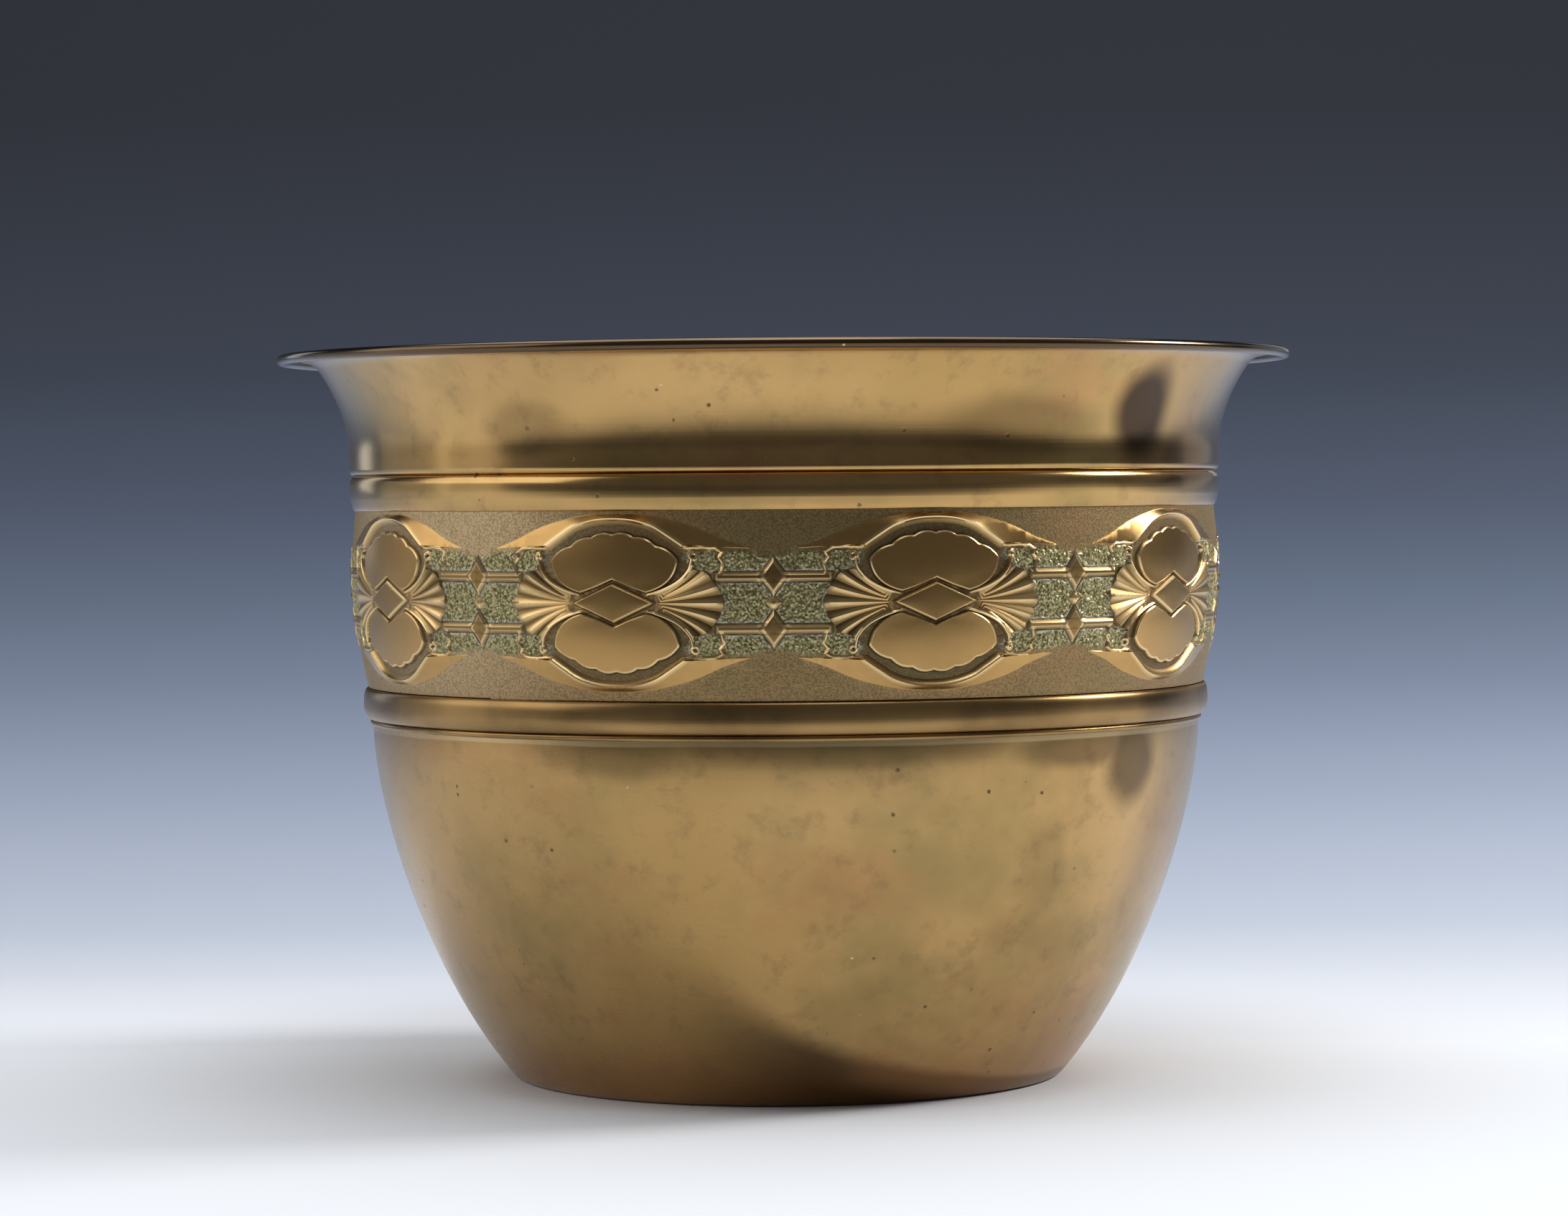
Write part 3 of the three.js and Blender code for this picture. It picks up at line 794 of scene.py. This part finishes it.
def partHeights(points, near, depth, ribs):
    sizes = reliefSizes
    heights = {name: np.interp(near[name], *rise) for name, (rise, _) in lineRidges.items()}
    for name, (rise, _, _) in outlineTops.items():
        heights[name] = np.where(depth[name] > -onEdge, np.interp(depth[name], *rise), missing)
    lift, middle, wide, tall = sizes["dome"]
    dome = 1 - (points[:, 0] / wide) ** 2 - ((points[:, 1] - middle) / tall) ** 2
    heights["lobe"] += lift * np.clip(dome, 0, 1)
    slope = near["wingEdge"] / np.maximum(near["wingEdge"] + near["arch"], 1e-6)
    foot, rise = sizes["wing"]
    heights["wing"] = np.where(depth["wing"] > -onEdge, foot + rise * slope, missing)
    heights["arch"][~(near["inEye"] | (near["arch"] < sizes["archEdge"]))] = missing
    heights["rim"] -= sizes["rimFall"] * np.clip(near["rimAlong"] * 2 - 1, 0, 1)
    heights["rim"][near["rim"] > sizes["rimReach"]] = missing
    heights["bracket"][near["bracket"] > sizes["bracketReach"]] = missing
    # the curl is highest beside the lobe
    radius, half, level, tilt, hole = sizes["curl"]
    toward = (motif["curl"][0] - points[:, 0]) / np.maximum(near["curl"], hole)
    off = near["curl"] - radius
    heights["curl"] = (level + tilt * toward) * np.sqrt(np.clip(1 - (off / half) ** 2, 0, 1))
    heights["curl"][np.abs(off) > half] = missing
    along, fall = ribs
    root, climb = sizes["rib"]
    valleyRoot, valleyClimb = sizes["valley"]
    rib = root + climb * along - (valleyRoot + valleyClimb * along) * fall ** sizes["valleyShape"]
    heights["fan"] = np.where(depth["fan"] > -onEdge, rib, missing)
    return np.array([heights[name] for name in partNames])


def partWearAndHighlight(points, near, depth, ribs):  # wear and painted highlights on slopes and crests
    wornAndLit = {name: np.interp(near[name], *wearAndHighlight) for name, (_, wearAndHighlight) in lineRidges.items()}
    wornAndLit |= {name: np.interp(depth[name], *wearAndHighlight) for name, (_, wearAndHighlight, _) in outlineTops.items()}
    scallopFoot = 11.6 - 0.02 * points[:, 0] ** 2
    wornAndLit["lobe"] *= np.where(points[:, 1] > scallopFoot, 1, 0.3)
    wornAndLit["wing"] = np.interp(near["arch"], (0, 0.35, 1.0), (1, 0.5, 0))
    wornAndLit["curl"] = np.full(len(points), 0.8)
    along, fall = ribs
    wornAndLit["fan"] = 0.75 * (1 - fall) * np.clip(along + 0.3, 0, 1)
    return wornAndLit


def relief(points):  # height of the stamped face, and the masks that its finish reads
    near = {name: toLine(points, motif[name])[0] for name in ("arch", "wingEdge", "bracket")}
    near["rim"], near["rimAlong"] = toLine(points, motif["rim"])
    near["curl"] = np.linalg.norm(points - motif["curl"], axis=1)
    near["inEye"] = inRing(points, motif["eye"])
    depth = {name: depthIn(points, motif[name]) for name in (*outlineTops, "wing", "fan")}
    ribs = fanRibs(points)
    stack = partHeights(points, near, depth, ribs)
    ground = np.where(near["inEye"], reliefSizes["eye"], 0.0)
    height = np.maximum(stack.max(0), ground)
    isGround = stack.max(0) <= ground
    owner = np.where(isGround, -1, stack.argmax(0))
    on = {name: owner == i for i, name in enumerate(partNames)}
    polish = np.where(isGround, 0, np.clip((height + 0.05) / 0.4, 0, 1))
    polish[on["wing"] | on["fan"]] = 1
    wearAndHighlight = np.zeros(len(points))
    for name, wornAndLit in partWearAndHighlight(points, near, depth, ribs).items():
        wearAndHighlight[on[name]] = wornAndLit[on[name]]
    coarse = np.clip(deepest(points, panels) / 0.4 + 0.3, 0, 1)
    coarse[~isGround] = 0
    # dirt and painted shade in the eye, beside the arch, in the curl, between the ribs and at the feet of the
    # pieces
    nook = np.where(isGround & near["inEye"], dirtAndShade["eye"], 0.0)
    nook[on["arch"]] = np.interp(near["arch"][on["arch"]], dirtAndShade["arch"], (0, dirtAndShade["eye"]))
    nook[near["curl"] < dirtAndShade["curlHole"]] = dirtAndShade["curl"]
    along, fall = ribs
    wedge = np.clip((fall - 1 + dirtAndShade["fanShare"] * along) / dirtAndShade["fanSoft"], 0, 1)
    nook[on["fan"]] = dirtAndShade["fan"] * wedge[on["fan"]]
    feet = np.min([np.abs(depth[name]) for name in ("diamond", "lobe", "star", "bar", "fan")], axis=0)
    run = np.where(coarse > 0.5, dirtAndShade["panelRun"], dirtAndShade["feetRun"])
    nook = np.maximum(nook, dirtAndShade["feet"] * np.clip(1 - feet / run, 0, 1))
    # painted shade with tarnish: the middles of the raised tops darken
    for name, (inset, amount) in dullAndShadedMiddles.items():
        dull = amount * np.clip(depth[name] / inset * 4 - 3, 0, 1)
        nook = np.where(on[name], np.maximum(nook, dull), nook)
    return height, polish, coarse, nook, wearAndHighlight


# Mesh of the flat repeat
meshPlan = {  # spacing of the points, and how far the loose ones keep off the lines
    "margin": 1.5, "longest": 1.4, "outside": 0.2, "rows": 12, "nearArch": 10, "weld": 1e-3, "snap": 2e-3,
    "ground": {"start": 1, "step": 2.3, "edge": 0.6, "pieceOff": 0.4, "lineOff": 1.2},
    "lobe": {"start": (1.0, 3.2), "end": (17.2, 18), "step": 1.5, "inside": 1.1},
    "stipple": {"start": 20, "step": 0.5, "rowShare": 0.87, "pieceOff": 0.3, "lineOff": 0.7, "inside": 0.1},
    "arch": (1.0, 0.35, -0.3, -0.8, -1.7), "rim": (-0.6, -0.25, 0.25, 0.6),
    "bracket": (-0.55, -0.2, 0.2, 0.55), "curl": (0.2, 0.5, 0.8, 1.1, 1.38, 1.5),
}
standing = ("bar", "star", "stud", "fan")  # pieces that stand in the stippled ground


def outlines():  # the lines that the flat repeat's faces follow
    off = meshPlan["outside"]
    lines = []
    for name, (_, _, creases) in outlineTops.items():
        for inset in (0, *creases, -off):
            moved = beside(motif[name], inset, True)
            lines.append(np.vstack([moved, moved[:1]]))
    lines += [motif[name] for name in (*lineRidges, "fanEnd", "wingUnder", "wingEdge")]
    for name in lineRidges:
        lines += [beside(motif[name], gap) for gap in meshPlan[name]]
    lines += [beside(motif["fanEnd"], -off), beside(motif["wingUnder"], -off), beside(motif["wingEdge"], off)]
    near = fanSizes["start"] + 0.4  # just past the ribs' root
    for angle in fanSizes["creases"]:
        far = np.interp(angle, fanSizes["angles"], fanSizes["reach"])
        lines.append(np.array([fanSpot(angle, reach) for reach in np.linspace(near + angle / 20, far, 13)]))
    turns = np.linspace(0, 2 * math.pi, 13)
    return lines + [arc(motif["curl"], radius, turns) for radius in meshPlan["curl"]]


def splitLong(line, step):  # more points on its long straights
    parts = []
    for first, second in zip(line, line[1:]):
        count = max(1, math.ceil(np.linalg.norm(second - first) / step))
        parts.append(np.linspace(first, second, count, endpoint=False))
    return np.vstack(parts + [line[-1:]])


def frameLines():  # the four sides of the quarter
    sides = np.linspace(0, halfPitch, friezeSizes["columns"] // 2 + 1)
    ends = np.delete(np.linspace(0, halfHeight, meshPlan["rows"]), meshPlan["nearArch"])
    return [
        np.stack([sides, 0 * sides], 1), np.stack([sides, 0 * sides + halfHeight], 1),
        np.stack([0 * ends, ends], 1), np.stack([0 * ends + halfPitch, ends], 1),
    ]


def staggered(start, step, rows):  # every second row moved by half a step
    columns = np.arange(start, halfPitch, step)
    return np.array([(u + (i % 2) * step / 2, v) for i, v in enumerate(rows) for u in columns])


def groundPoints(start, step, edge, pieceOff, lineOff):
    grid = staggered(start, step, np.arange(start, halfHeight, step))
    plain = ((grid > edge) & (grid < np.array([halfPitch, halfHeight]) - edge)).all(1)
    plain &= deepest(grid, [motif[name] for name in (*standing, "diamond")]) < -pieceOff
    for name in lineRidges:
        plain &= toLine(grid, motif[name])[0] > lineOff
    return grid[plain]


def lobePoints(start, end, step, inside):
    across, up = [np.arange(first, last, step) for first, last in zip(start, end)]
    grid = np.array([(u, v) for u in across for v in up])
    return grid[depthIn(grid, motif["lobe"]) > inside]


def stipplePoints(start, step, rowShare, pieceOff, lineOff, inside):
    dots = staggered(start, step, np.arange(0, halfHeight, step * rowShare))
    clear = deepest(dots, [motif[name] for name in standing]) < -pieceOff
    clear &= toLine(dots, motif["bracket"])[0] > lineOff
    clear &= deepest(dots, panels) > inside
    return dots[clear]


def quarterRepeat():
    plan = meshPlan
    size = np.array([halfPitch, halfHeight])
    points = []
    edges = []
    count = 0
    for line in frameLines() + [splitLong(line, plan["longest"]) for line in outlines()]:
        points.append(line)
        edges += [(i, i + 1) for i in range(count, count + len(line) - 1)]
        count += len(line)
    points += [groundPoints(**plan["ground"]), lobePoints(**plan["lobe"]), stipplePoints(**plan["stipple"])]
    points = np.vstack(points)
    near = ((points > -plan["margin"]) & (points < size + plan["margin"])).all(1)
    renumber = np.cumsum(near) - 1
    kept = [Vector(point) for point in points[near].tolist()]
    links = [(int(renumber[a]), int(renumber[b])) for a, b in edges if near[a] and near[b]]
    spots, _, faces, *_ = delaunay_2d_cdt(kept, links, [], 0, plan["weld"])
    spots = np.array([tuple(spot) for spot in spots])
    faces = np.array(faces)
    middles = spots[faces].mean(1)
    faces = faces[((middles > 0) & (middles < size)).all(1)]
    used, faces = np.unique(faces, return_inverse=True)
    spots = spots[used]
    spots[np.abs(spots) < plan["snap"]] = 0
    for axis in (0, 1):
        spots[np.abs(spots[:, axis] - size[axis]) < plan["snap"], axis] = size[axis]
    return spots, faces.reshape(-1, 3)


def mirrored(quarter, faces, values):  # the quarter and its three mirror images, joined
    spots = []
    triangles = []
    for across, up in ((1, 1), (-1, 1), (-1, -1), (1, -1)):
        order = faces if across * up > 0 else faces[:, ::-1]
        triangles.append(order + len(spots) * len(quarter))
        spots.append(quarter * (across, up))
    spots = np.vstack(spots)
    _, first, same = np.unique(np.round(spots, 3), axis=0, return_index=True, return_inverse=True)
    triangles = same.reshape(-1)[np.vstack(triangles)]
    whole = (triangles != np.roll(triangles, 1, axis=1)).all(1)
    return spots[first], triangles[whole], np.vstack([values] * 4)[first]


def stripRow(columns, v, depth):  # a row of the border or of the back, which follows the relief softly
    level = 0 * columns
    if depth and abs(v) < halfHeight:
        spread = friezeSizes["backSpread"]
        corners = [(du, dv) for du in (-spread, spread) for dv in (-spread, spread)]
        around = [np.column_stack([columns + du, 0 * columns + v + dv]) for du, dv in corners]
        level = np.mean([relief(np.abs(spots))[0] for spots in around], axis=0)
    return np.column_stack([columns, 0 * columns + v, level * friezeSizes["backShare"] - depth])


def flatRepeat():
    sizes = friezeSizes
    quarter, quarterFaces = quarterRepeat()
    spots, triangles, values = mirrored(quarter, quarterFaces, np.stack(relief(quarter), 1))
    coarse = values[:, 2]
    chance = np.random.default_rng(sizes["stippleSeed"]).random(len(spots))
    height = values[:, 0] + coarse * sizes["stippleHeight"] * chance ** sizes["stipplePower"]
    # plain border above, back face, and the edges between them
    columns = np.linspace(-halfPitch, halfPitch, sizes["columns"] + 1)
    top = halfHeight + sizes["border"] - sizes["lift"]
    foot = -halfHeight - sizes["lift"]
    rows = [stripRow(columns, (halfHeight + top) / 2, 0), stripRow(columns, top, 0)]
    rows += [stripRow(columns, v, sizes["sheet"]) for v in np.linspace(top, foot, sizes["backRows"])]
    rows.append(stripRow(columns, foot, 0))
    upper, lower = [
        [int(np.abs(spots - (u, v)).sum(1).argmin()) for u in columns] for v in (halfHeight, -halfHeight)]
    added = np.arange(len(rows) * len(columns)).reshape(len(rows), -1) + len(spots)
    faces = triangles.tolist() + ladder([upper, *added.tolist(), lower])
    vertices = np.vstack([np.column_stack([spots, height]), *rows])
    obj = meshObject("frieze_hoop", vertices * mm, faces)
    masks = np.column_stack([values[:, 1:], coarse * chance])
    masks = np.vstack([masks, np.zeros((added.size, len(maskNames)))])
    for name, mask in zip(maskNames, masks.T.tolist()):
        obj.data.attributes.new(name, "FLOAT", "POINT").data.foreach_set("value", mask)
    return obj


def hoopTree(numbers):
    inputs = {"repeats": "Int", **dict.fromkeys(numbers, "Float"), "finish": "Material"}
    tree = shapeTree("friezeHoop", inputs)
    repeats = tree.given("repeats")
    pitch = tree.given("pitch")
    half = pitch * repeats / 2
    line = tree.add("GeometryNodeMeshLine", {
        "Count": repeats,
        "Start Location": tree.vector(pitch / 2 - half, 0, 0),
        "Offset": tree.vector(pitch, 0, 0),
    }, mode="OFFSET")
    repeat = {"Points": line, "Instance": tree.given("Geometry")}
    copies = tree.add("GeometryNodeInstanceOnPoints", repeat)
    strip = tree.add("GeometryNodeRealizeInstances", {"Geometry": copies})
    strip = tree.add("GeometryNodeMergeByDistance", {"Geometry": strip, "Distance": 4e-6})
    along, up, out = tree.add("GeometryNodeInputPosition").axes()
    rise = up + tree.given("height") / 2 + tree.given("lift")
    t = rise / tree.given("height")
    t = t.calc("MINIMUM", t, 1.0)
    lower = (1 - t) * (1 - t) * tree.given("footRadius")
    swell = t * (1 - t) * 2 * tree.given("swellRadius")
    radius = lower + swell + t * t * tree.given("topRadius") + out
    angle = along / tree.given("middleRadius") * tree.given("closing") + tree.given("seamTurn") + math.pi
    fade = along.calc("EXPONENT", (along + half) * -friezeSizes["lagFade"])
    spot = tree.vector(
        radius * angle.calc("SINE", angle),
        radius * angle.calc("COSINE", angle) * -1,
        rise + tree.given("foot") - fade * tree.given("seamLag") * (1 - t),
    )
    closeTree(tree, tree.add("GeometryNodeSetPosition", {"Geometry": strip, "Position": spot}))
    return tree


def makeFrieze():
    sizes = friezeSizes
    lengths = ("foot", "height", "lift", "footRadius", "middleRadius", "topRadius", "seamLag")
    numbers = {name: sizes[name] * mm for name in lengths}
    numbers["pitch"] = 2 * halfPitch * mm
    numbers["swellRadius"] = swellRadius * mm
    numbers["seamTurn"] = math.radians(sizes["seamTurn"])
    numbers["closing"] = 1 - sizes["slit"] / (2 * math.pi * sizes["middleRadius"])
    values = {"repeats": sizes["repeats"], "finish": friezeBrass, **numbers}
    hoop = shaped(flatRepeat(), hoopTree(numbers), values)
    return finishShell(reworked(hoop, closeHoles), 28)


place(makeFrieze(), "frieze_band")


# Strap behind the seam
strapSizes = {"sheet": 0.6, "width": 11.0, "foot": 113.5, "height": 40.0, "gap": 0.1}


def bandInside(z):  # radius of the band's inner face
    sizes = friezeSizes
    t = (z - sizes["foot"]) / sizes["height"]
    outside = (1 - t) ** 2 * sizes["footRadius"] + 2 * t * (1 - t) * swellRadius + t * t * sizes["topRadius"]
    return outside - sizes["sheet"]


def makeStrap(sheet, width, foot, height, gap):
    across = np.linspace(-0.5, 0.5, 9) * width
    heights = np.linspace(foot, foot + height, 25)
    loop = [(u, gap) for u in across] + [(u, gap + sheet) for u in across[::-1]]
    vertices = []
    for z in heights:
        for u, depth in loop:
            turn = friezeSizes["seamTurn"] + math.degrees(u / friezeSizes["middleRadius"])
            vertices.append(onWall(turn, bandInside(z) - depth, z))
    rows = np.arange(len(vertices)).reshape(len(heights), -1).tolist()
    faces = ladder([row + row[:1] for row in rows])
    for row in (rows[0], rows[-1]):  # the ends
        faces += ladder([row[:len(across)], row[:len(across) - 1:-1]])
    obj = meshObject("seam_strap_sheet", vertices, faces)
    obj.data.materials.append(friezeBrass)
    return finishShell(reworked(obj, alignFaces))


place(makeStrap(**strapSizes), "seam_strap")
print("pieces placed")


# Stage: a pale floor that sweeps up behind, painted darker up the sweep and towards the front, soft lights,
# and the camera
stageLook = {
    "tones": [  # painted shade: how far back and up the sweep, and the colour there
        (0.00, 0.79, 0.815, 0.86), (0.04, 0.67, 0.69, 0.745), (0.09, 0.55, 0.58, 0.65),
        (0.15, 0.44, 0.485, 0.57), (0.27, 0.355, 0.40, 0.50), (0.36, 0.26, 0.30, 0.40),
        (0.44, 0.162, 0.197, 0.279), (0.51, 0.10, 0.13, 0.19), (0.58, 0.06, 0.077, 0.121),
        (0.67, 0.031, 0.040, 0.062), (0.83, 0.016, 0.019, 0.029),
    ],
    "toneStart": 0.05, "toneRun": 2.35, "paintedDark": color(0.052, 0.055, 0.065), "paintedDarkEdge": (-0.85, -0.26),
    "sweepStart": 0.45, "sweepRadius": 1.5, "halfWidth": 3.2, "front": -2.6, "top": 3.2, "roughness": 0.9,
}


def makeStage():
    look = stageLook
    wall = look["sweepStart"] + look["sweepRadius"]
    bend = curve([(look["sweepStart"], 0), (wall, 0), (wall, look["sweepRadius"])], 24)
    line = chain([(look["front"], 0)], bend, [(wall, look["top"])])
    vertices = [(x, y, z) for y, z in line for x in (-look["halfWidth"], look["halfWidth"])]
    faces = ladder(np.arange(len(vertices)).reshape(-1, 2).tolist())
    sweep = meshObject("floor_sweep", vertices, faces)
    sweep.data.polygons.foreach_set("use_smooth", [True] * len(faces))
    material, tree, spot = newFinish("paperWithPaintedShade")
    _, back, height = spot.axes()
    along = (back + height - look["toneStart"]) / look["toneRun"]
    base = tree.add("ShaderNodeValToRGB", {"Fac": along}, "Color")
    stops = base.socket.node.color_ramp.elements
    for position, *tone in look["tones"]:
        stop = stops[0] if position == 0 else stops.new(position)
        stop.color = color(*tone)
    stops.remove(stops[-1])  # the ramp's own white end
    # painted shade: the floor darkens towards the front
    base = tree.mix(1 - back.band(*look["paintedDarkEdge"]), base, look["paintedDark"])
    closeFinish(tree, base, look["roughness"], [], 0.0)
    sweep.data.materials.append(material)


lampPlan = {  # place, aim, size, brightness of the panel's face, and tint
    "keyRight": ((1.46, 0.28, 1.0), (0, 0, 0.08), (0.5, 0.5), 25, (1.0, 0.98, 0.95)),
    "overhead": ((0, 0.35, 1.9), (0, 0.2, 0), (2.4, 1.9), 2.15, (0.95, 0.975, 1.0)),
    "frontTop": ((0.1, -0.55, 2.0), (0, -0.15, 0), (0.9, 0.9), 3.2, (0.97, 0.99, 1.0)),
    "leftWindow": ((-1.45, -0.2, 0.85), (0, 0, 0.12), (1.5, 1.0), 1.5, (1.0, 0.98, 0.96)),
    "leftFar": ((-1.215, 0.516, 0.22), (0, 0, 0.15), (0.62, 0.4), 0.32, (1.0, 0.98, 0.95)),
    "leftGap": ((-1.315, 0.115, 0.22), (0, 0, 0.15), (0.16, 0.4), 0.9, (1.0, 0.98, 0.93)),
    "leftNear": ((-1.307, -0.184, 0.22), (0, 0, 0.15), (0.36, 0.4), 0.5, (1.0, 0.98, 0.95)),
    "leftStrip": ((-1.0, 1.15, 0.3), (0, 0, 0.12), (0.28, 0.9), 0.95, (0.93, 0.97, 1.0)),
    "rightPanel": ((1.02, 1.10, 0.3), (0, 0, 0.12), (0.7, 0.8), 0.21, (0.95, 0.97, 1.0)),
    "rightStrip": ((0.586, 1.38, 0.3), (0, 0, 0.12), (0.06, 0.9), 1.3, (0.93, 0.97, 1.0)),
}
worldLook = {"tint": color(0.12, 0.12, 0.125), "strength": 1.0}


def makeLights():
    for name, (spot, aim, size, glow, tint) in lampPlan.items():
        lamp = bpy.data.lights.new(name, "AREA")
        lamp.shape = "RECTANGLE"
        lamp.size, lamp.size_y = size
        lamp.energy = glow * math.pi * lamp.size * lamp.size_y
        lamp.color = tint
        obj = bpy.data.objects.new(name, lamp)
        obj.location = spot
        obj.rotation_euler = (Vector(aim) - Vector(spot)).to_track_quat("-Z", "Y").to_euler()
        obj.visible_camera = False
        scene.collection.objects.link(obj)
    world = bpy.data.worlds.new("studio")
    world.use_nodes = True
    backdrop = world.node_tree.nodes["Background"].inputs
    backdrop["Color"].default_value = worldLook["tint"]
    backdrop["Strength"].default_value = worldLook["strength"]
    scene.world = world


cameraPlan = {
    "distance": 1.255, "eye": 0.163, "side": -0.0003, "pitch": 1.545, "roll": 0.45,
    "sensor": 36, "focalPixels": 6275, "photoWidth": 2184, "clipEnd": 50,
}


def makeCamera(distance, eye, side, pitch, roll, sensor, focalPixels, photoWidth, clipEnd):
    lens = bpy.data.cameras.new("photoView")
    lens.sensor_width = sensor
    lens.lens = sensor * focalPixels / photoWidth
    lens.clip_end = clipEnd
    camera = bpy.data.objects.new("photoView", lens)
    tilt = Matrix.Rotation(math.radians(90 - pitch), 4, "X")
    turn = Matrix.Rotation(math.radians(-roll), 4, "Z")
    camera.matrix_world = Matrix.Translation((side, -distance, eye)) @ tilt @ turn
    scene.collection.objects.link(camera)
    scene.camera = camera


makeStage()
makeLights()
makeCamera(**cameraPlan)
print("stage ready")
